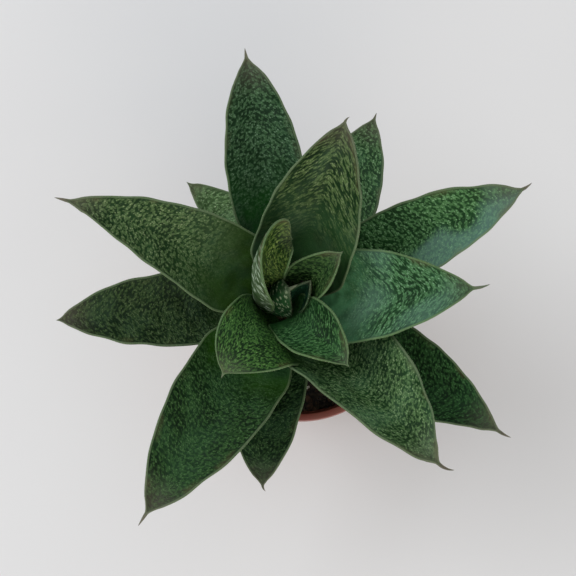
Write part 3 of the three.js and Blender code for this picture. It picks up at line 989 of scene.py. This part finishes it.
@dataclass
class Soil:
    """The root ball: a crumbly top with grit, perlite and bark strewn over it.

    Sizes are in mm. The top is level within level_edge of the pot. Grains are drawn out by
    stretched along one way and by flattened upwards, lean by up to tilted radians, and stand
    raised radii above the soil, before chipped moves their corners.
    """

    top: float = 70.0
    bump: float = 0.8
    clearance: float = 0.3
    crumb: float = 0.22
    crumb_waves: Pair = (2.5, 7)
    level_edge: float = 3.0
    strewn_to: float = 41.0
    stretched: Pair = (0.7, 1.5)
    flattened: Pair = (0.7, 1.1)
    tilted: float = 0.5
    raised: float = 0.25
    chipped: float = 0.12
    rings: int = 44
    sides: int = 96
    seed: int = 21

    def height_at(self, x: float, y: float) -> float:
        """Gives the height of the top in mm at a place in mm."""
        broad = math.sin(0.31 * x + 0.9) * math.cos(0.27 * y - 0.4)
        narrow = math.sin(0.53 * y + 0.2 * x)
        return self.top + self.bump * (0.6 * broad + 0.4 * narrow)

    def build_ball(self, pot: Pot) -> Piece:
        """Makes the root ball, a little inside the pot."""
        gap = self.clearance
        low = pot.floor + gap
        roof = low + pot.groove_height
        near, far = pot.groove
        wall, slope = pot.wall, pot.groove_slope
        edge = pot.inside(self.top) - gap
        outline = [(0, low), (near - wall - gap, low), (near + slope - wall - gap, roof)]
        outline += [(far - slope + wall + gap, roof), (far + wall + gap, low)]
        outline += [(pot.inside(low + wall) - gap - wall, low)]
        outline += [(pot.inside(low + wall) - gap, low + wall)]
        outline += [(edge * i / self.rings, self.top) for i in range(self.rings, -1, -1)]
        bm = spun(outline, self.sides)
        crumbs = Waves(self.seed, *self.crumb_waves, count=16)
        for vert in bm.verts:
            x, y, z = (c / MM for c in vert.co)
            if z > self.top - 0.1:
                inner = smooth_step(0, self.level_edge, np.array(edge - math.hypot(x, y)))
                lift = self.height_at(x, y) - self.top + self.crumb * float(crumbs.at(x, y))
                vert.co.z = (self.top + lift * float(inner)) * MM
        return finish_piece(bm, "soil_ball")

    def strew(self, name: str, count: int, sizes: Pair, flat: float) -> Piece:
        """Strews grains over the soil, each half sunk in.

        Args:
            name: The piece's name.
            count: How many grains.
            sizes: The smallest and largest radius in mm.
            flat: How flat the grains are, 1 for round ones.

        Returns:
            The piece that holds them all.
        """
        draw = np.random.default_rng(self.seed + count)
        bm = bmesh.new()
        for _ in range(count):
            radius = self.strewn_to * math.sqrt(draw.uniform(0, 1))
            angle = draw.uniform(0, 2 * math.pi)
            x, y = radius * math.cos(angle), radius * math.sin(angle)
            size = draw.uniform(*sizes)
            long, high = draw.uniform(*self.stretched), flat * draw.uniform(*self.flattened)
            stretch = Matrix.Diagonal((long, 1.0, high, 1.0))
            lean = [draw.uniform(-self.tilted, self.tilted) for _ in range(2)]
            turn = Euler((*lean, draw.uniform(0, 6.28)))
            seat = Vector((x, y, self.height_at(x, y) + self.raised * size * flat)) * MM
            bmesh.ops.create_icosphere(
                bm, subdivisions=1, radius=size * MM,
                matrix=Matrix.Translation(seat) @ turn.to_matrix().to_4x4() @ stretch,
            )
        for vert in bm.verts:
            vert.co += Vector(draw.uniform(-self.chipped, self.chipped, 3) * MM)
        return finish_piece(bm, name, smooth=False)

    def build(self, pot: Pot) -> list[Piece]:
        """Makes and dresses the soil and what lies on it."""
        ball = self.build_ball(pot)
        ball.data.materials.append(EarthFinish().material("soil_earth"))
        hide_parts("soil")
        strewn = [
            ("soil_grit", 900, (0.35, 1.0), 0.8, GrainFinish((70, 54, 42), (26, 21, 17))),
            ("soil_perlite", 70, (0.5, 1.3), 0.9, GrainFinish((214, 208, 196), (160, 150, 134))),
            ("soil_bark", 110, (1.0, 2.6), 0.3, GrainFinish((92, 62, 42), (44, 30, 22))),
        ]
        pieces = [ball]
        for name, count, sizes, flat, finish in strewn:
            piece = self.strew(name, count, sizes, flat)
            piece.data.materials.append(finish.material(name))
            pieces.append(piece)
        for piece in pieces:
            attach(piece, "root")
        return pieces


@dataclass(frozen=True)
class BarkFinish:
    """The short stem: pale green going brown and papery where old leaves came away."""

    fresh: tuple = (126, 134, 92)
    dry: tuple = (112, 88, 62)

    def material(self, name: str) -> bpy.types.Material:
        """Wires the material and returns it."""
        s = Shader(name)
        place = s.place()
        bands = s.noise(s.scaled(place, (0.25, 0.25, 1.0)), 1 / (1.5 * MM), 3.0)
        patch = s.noise(place, 1 / (5 * MM), 2.0)
        dry = s.ramp(s.plus(bands, patch), 0.85, 1.15)
        s.set("Base Color", s.mix(dry, tone(*self.fresh), tone(*self.dry)))
        s.set("Roughness", s.between(patch, 0.6, 0.85))
        s.bump(bands, 0.3, 0.8)
        return s.material


@dataclass
class Stem:
    """The short thick stem, with a ridge where each old leaf came away."""

    outline: tuple[Pair, ...] = (
        (56, 3.4), (58, 4.6), (76, 6), (82, 6.5), (90, 7.5), (95, 7), (101, 6.6), (104, 5),
        (106.5, 2.6),
    )
    scar_pitch: float = 2.6
    scar_height: float = 0.35
    ring_gap: float = 0.65
    sides: int = 48

    def build(self) -> Piece:
        """Makes the stem, leans it and dresses it."""
        heights, radii = zip(*self.outline)
        levels = np.arange(heights[0], heights[-1], self.ring_gap)
        ridges = self.scar_height * np.abs(np.sin(np.pi * levels / self.scar_pitch)) ** 3
        widths = np.interp(levels, heights, radii) + ridges - self.scar_height / 2
        outline = [(0.0, levels[0]), *zip(widths, levels), (0.0, levels[-1])]
        bm = spun(outline, self.sides)
        lean = Matrix.Identity(4)
        lean[0][2], lean[1][2] = AXIS_LEAN
        lean[0][3], lean[1][3] = (AXIS_AT_RIM - AXIS_LEAN * RIM_HEIGHT) * MM
        bmesh.ops.transform(bm, matrix=lean, verts=bm.verts)
        stem = finish_piece(bm, "stem_core")
        stem.data.materials.append(BarkFinish().material("stem_bark"))
        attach(stem, "root")
        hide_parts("stem")
        return stem


OLD = LeafFinish()
YOUNG = LeafFinish(
    dark=(12, 42, 14), dark_far=(24, 60, 26), pale=(78, 122, 72), grit=(134, 168, 126),
    foot=(44, 86, 40), margin=(104, 132, 86), tip=(96, 104, 82), dash=(1.1, 0.6),
    chevron=(0.25, 1.0), bare=0.16,
)
# The heart leaves: a darker copy of the young finish, painted shade for the deep heart of the rosette
SHADED_HEART = replace(
    YOUNG, dark=(10, 32, 18), dark_far=(18, 42, 26), pale=(46, 80, 54), grit=(92, 124, 98),
    margin=(64, 84, 56), cover=0.6, tint_and_light=(0.45, 0.82, 0.75),
)

OUTER = Part.OLD_LEAF
INNER = Part.YOUNG_LEAF

ROSETTE: dict[str, tuple[LeafShape, LeafFinish, Part]] = {
    "leaf_01": (LeafShape(
        heading=99.5, foot=(8, 87), blade=97, rise=(22, 18, 8), cup=(25, 25, 25),
        width=34, belly=0.44, taper=2.6,
    ), replace(OLD, tint_and_light=(1.35, 1.35, 1.6), foot=(8, 60, 4), bare=0.4, bloom_and_sheen=0.06), OUTER),
    "leaf_02": (LeafShape(
        heading=152, sway=14, foot=(8, 92), blade=93, rise=(28, 19, 0), cup=(25, 25, 25),
        width=38, belly=0.25, taper=1.7, awn=6,
    ), replace(OLD, tint_and_light=(2.1, 1.6, 1.6), foot=(20, 48, 4), bare=0.36, bloom_and_sheen=0.05), OUTER),
    "leaf_03": (LeafShape(
        heading=184, sway=3, foot=(7, 82), blade=89, rise=(12, 10, 4), cup=(22, 22, 22),
        width=32, belly=0.36, taper=2.7, awn=1,
    ), replace(OLD, tint_and_light=(0.95, 0.8, 0.7), dash=(0.9, 0.7)), OUTER),
    "leaf_04": (LeafShape(
        heading=237.5, foot=(8, 88), blade=98, rise=(22, 18, 0), cup=(18, 18, 18),
        width=41, belly=0.3, taper=2.6, awn=6,
    ), replace(OLD, tint_and_light=(0.7, 0.85, 0.6), foot=(46, 84, 14), bare=0.28), OUTER),
    "leaf_05": (LeafShape(
        heading=259, sway=12, foot=(7, 82), blade=70, rise=(10, 8, 0), roll=(0, 12, 10),
        cup=(22, 22, 22), width=30, belly=0.42, taper=2.8, awn=3, lean=0.1, hook=50,
    ), replace(OLD, tint_and_light=(0.9, 0.95, 0.8)), OUTER),
    "leaf_06": (LeafShape(
        heading=311, sway=1, foot=(8, 89), blade=89, rise=(32, 27, 0), roll=(0, -20, -15),
        cup=(35, 36, 33), width=49, belly=0.33, taper=2.4, awn=7, lean=-0.12, hook=50,
    ), replace(OLD, tint_and_light=(2.2, 1.9, 1.9)), OUTER),
    "leaf_07": (LeafShape(
        heading=331, sway=-10, foot=(7, 83), blade=96, rise=(12, 12, 6), cup=(25, 25, 25),
        width=37, belly=0.38, taper=2.2, awn=6, lean=-0.1, hook=20,
    ), replace(OLD, tint_and_light=(0.6, 0.9, 0.65), dash=(0.9, 0.7)), OUTER),
    # Its bluish coat is a painted reflection, and its pale foot partly painted light under the leaves
    # above
    "leaf_08": (LeafShape(
        heading=1, sway=4, foot=(7, 98), blade=74, rise=(44, 22, -10), cup=(16, 16, 16),
        width=39, belly=0.27, taper=2.1, awn=7, hook=20,
    ), replace(
        YOUNG, tint_and_light=(1.2, 1.2, 1.4), wax_and_sheen=(84, 116, 92), bloom_and_sheen=0.45, foot=(104, 170, 110), bare=0.3,
    ), INNER),
    # Its bluish coat is a painted reflection, gathered towards one margin
    "leaf_09": (LeafShape(
        heading=24.5, foot=(8, 88), blade=101, rise=(22, 16, 6), cup=(26, 26, 26),
        width=34, belly=0.35, taper=2.8, awn=5, lean=0.03, hook=20,
    ), replace(OLD, tint_and_light=(2.1, 2.3, 2.3), wax_and_sheen=(78, 100, 90), bloom_and_sheen=0.5, sheen_side=-0.02), OUTER),
    "leaf_10": (LeafShape(
        heading=62, sway=8, foot=(7, 82), blade=81, rise=(10, 10, 4), cup=(20, 20, 20),
        width=35, belly=0.38, taper=2.3, awn=3,
    ), replace(OLD, tint_and_light=(2.2, 2.1, 2.3)), OUTER),
    "leaf_11": (LeafShape(
        heading=70, sway=3, foot=(7, 94), blade=77, rise=(48, 36, 15), cup=(33, 33, 33),
        width=46, belly=0.29, taper=2.5, awn=3, hook=-50,
    ), replace(
        OLD, dark=(6, 28, 6), dark_far=(12, 38, 12), pale=(70, 102, 58), tint_and_light=(1.95, 1.45, 1.45),
        dash=(1.4, 0.65), chevron=(0.25, 1.1), foot=(26, 60, 30), bare=0.5, cover=0.7,
    ), OUTER),
    # Its lighter colours and strong multipliers paint in light where leaf_01 and leaf_02 shade it
    "leaf_12": (LeafShape(
        heading=125, sway=14, foot=(7, 82), blade=60, rise=(10, 8, 8), cup=(20, 20, 20),
        width=24, belly=0.45, taper=1.7, awn=1, lean=-0.2,
    ), replace(
        OLD, dark=(36, 58, 30), dark_far=(42, 66, 38), pale=(68, 96, 60), tint_and_light=(3.4, 2.8, 3.0),
    ), OUTER),
    # Its underside is light and bluish: partly its pale warts, partly painted light from the side
    "leaf_13": (LeafShape(
        heading=120, sway=-112, turn=60, foot=(6.6, 98), blade=48, rise=(66, 58, -50),
        roll=(0, 64, 10), cup=(40, 50, 30), width=21, belly=0.75, base=0.3, taper=3.5,
        awn=1, lean=0.4,
    ), replace(
        YOUNG, tint_and_light=(1.55, 1.05, 0.6), dash=(0.6, 0.8), under=(70, 104, 96),
        under_pale=(156, 174, 148), blush=0.6,
    ), INNER),
    "leaf_14": (LeafShape(
        heading=214, sway=30, turn=40, foot=(6.6, 97), blade=55, rise=(0, 85, 60, 8, -12),
        cup=(25, 0, 10), width=35, belly=0.35, base=0.35, taper=3, awn=2, lean=0.15,
    ), replace(YOUNG, tint_and_light=(0.7, 0.75, 0.42), dash=(0.5, 0.8)), INNER),
    "leaf_15": (LeafShape(
        heading=40, sway=-4, foot=(4, 105), blade=34, rise=(64, 48, 20), cup=(36, 34, 30),
        width=20, belly=0.5, base=0.5, awn=1,
    ), replace(YOUNG, tint_and_light=(0.72, 0.65, 0.45), dash=(0.8, 0.6)), INNER),
    "leaf_16": (LeafShape(
        heading=320, sway=-10, turn=-48, foot=(5, 105), blade=42, rise=(64, 38, 2),
        roll=(0, 5, 0), cup=(30, 25, 24), width=24, belly=0.45, base=0.75, awn=1,
    ), replace(YOUNG, tint_and_light=(0.75, 0.85, 0.7), dash=(0.9, 0.55), cover=0.65), INNER),
    "leaf_17": (LeafShape(
        heading=200, turn=-20, foot=(6.4, 101), blade=27, rise=(65, 112, 136),
        cup=(20, 38, 26), width=19, belly=0.45, base=0.5, thick=2.5, awn=5,
    ), SHADED_HEART, INNER),
    "leaf_18": (LeafShape(
        heading=50, turn=-45, foot=(4, 105), blade=21, rise=(72, 68, 70), cup=(55, 55, 45),
        width=16, belly=0.5, thick=2.5, awn=1,
    ), SHADED_HEART, INNER),
}


@dataclass(frozen=True)
class Lamp:
    """A square soft light: its place and side in metres, its power in watts and its colour."""

    name: str
    place: tuple[float, float, float]
    size: float
    power: float
    colour: tuple[int, int, int]


@dataclass
class Studio:
    """The pale floor, the soft lights and the camera.

    The camera looks at target, in mm, from distance away at the given elevation. focal is its
    focal length in pixels of a picture frame_width wide. The floor's size is in metres.
    """

    target: tuple[float, float, float] = (-5.25, 11.6, 80.0)
    elevation: float = 81.0
    distance: float = 540.0
    focal: float = 1260.0
    frame_width: float = 576.0
    sensor: float = 36.0
    floor_size: float = 12.0
    floor_tone: tuple = (222, 221, 219)
    floor_shade: tuple = (216, 214, 212)
    floor_patch: float = 6.0
    sky: tuple = (234, 237, 242)
    sky_strength: float = 0.79
    lamps: tuple[Lamp, ...] = (
        Lamp("window", (-2.8, 1.1, 2.6), 2.6, 74.0, (246, 250, 255)),
        Lamp("bounce", (0.6, -2.4, 1.1), 2.0, 32.0, (255, 244, 230)),
    )

    def hang(self, name: str, data: bpy.types.ID, place: Vector, aim: Vector) -> Piece:
        """Sets a camera or a lamp in its place.

        Args:
            name: Its name.
            data: The camera or the lamp.
            place: Where it hangs, in metres.
            aim: The way from what it looks at to itself.

        Returns:
            The object that holds it.
        """
        holder = bpy.data.objects.new(name, data)
        bpy.context.collection.objects.link(holder)
        holder.location = place
        holder.rotation_euler = aim.to_track_quat("Z", "Y").to_euler()
        return holder

    def add_camera(self) -> None:
        """Sets the camera at the picture's viewing angle."""
        camera = bpy.data.cameras.new("camera")
        camera.sensor_width = self.sensor
        camera.lens = self.focal / self.frame_width * self.sensor
        camera.clip_start, camera.clip_end = 0.01, 20
        tilt = math.radians(self.elevation)
        back = Vector((0, -math.cos(tilt), math.sin(tilt)))
        place = (Vector(self.target) + back * self.distance) * MM
        bpy.context.scene.camera = self.hang("camera", camera, place, back)

    def add_floor(self) -> None:
        """Lays the plain pale floor, which is not part of the object."""
        bm = bmesh.new()
        bmesh.ops.create_grid(bm, x_segments=1, y_segments=1, size=self.floor_size)
        floor = finish_piece(bm, "floor")
        s = Shader("floor")
        patch = s.noise(s.place(), self.floor_patch, 2.0)
        s.set("Base Color", s.mix(patch, tone(*self.floor_tone), tone(*self.floor_shade)))
        s.set("Roughness", s.between(patch, 0.55, 0.7))
        floor.data.materials.append(s.material)

    def add_lamp(self, lamp: Lamp) -> None:
        """Hangs a lamp that points at the plant."""
        light = bpy.data.lights.new(lamp.name, "AREA")
        light.size, light.energy = lamp.size, lamp.power
        light.color = tone(*lamp.colour)[:3]
        place = Vector(lamp.place)
        self.hang(lamp.name, light, place, place - Vector(self.target) * MM)

    def build(self) -> None:
        """Sets up the whole studio."""
        self.add_camera()
        self.add_floor()
        world = bpy.data.worlds.new("studio")
        world.use_nodes = True
        sky = world.node_tree.nodes["Background"]
        sky.inputs["Color"].default_value = tone(*self.sky)
        sky.inputs["Strength"].default_value = self.sky_strength
        bpy.context.scene.world = world
        for lamp in self.lamps:
            self.add_lamp(lamp)
        bpy.context.scene.view_settings.view_transform = "Standard"


def count_faces(piece: Piece) -> int:
    """Counts a piece's triangles."""
    piece.data.calc_loop_triangles()
    return len(piece.data.loop_triangles)


def main() -> None:
    """Builds the studio and the plant, piece by piece, and reports each."""
    logging.basicConfig(level=logging.INFO, format="%(message)s", stream=sys.stdout)
    Studio().build()
    pot = Pot()
    made = [pot.build(), *Soil().build(pot), Stem().build()]
    for number, (name, (shape, finish, part)) in enumerate(ROSETTE.items(), start=1):
        made += Leaf(name, shape, finish, part, seed=number).build()
    for piece in made:
        LOG.info("%s: %d triangles", piece.name, count_faces(piece))
    LOG.info("all pieces: %d triangles", sum(count_faces(piece) for piece in made))


if __name__ == "__main__":
    main()
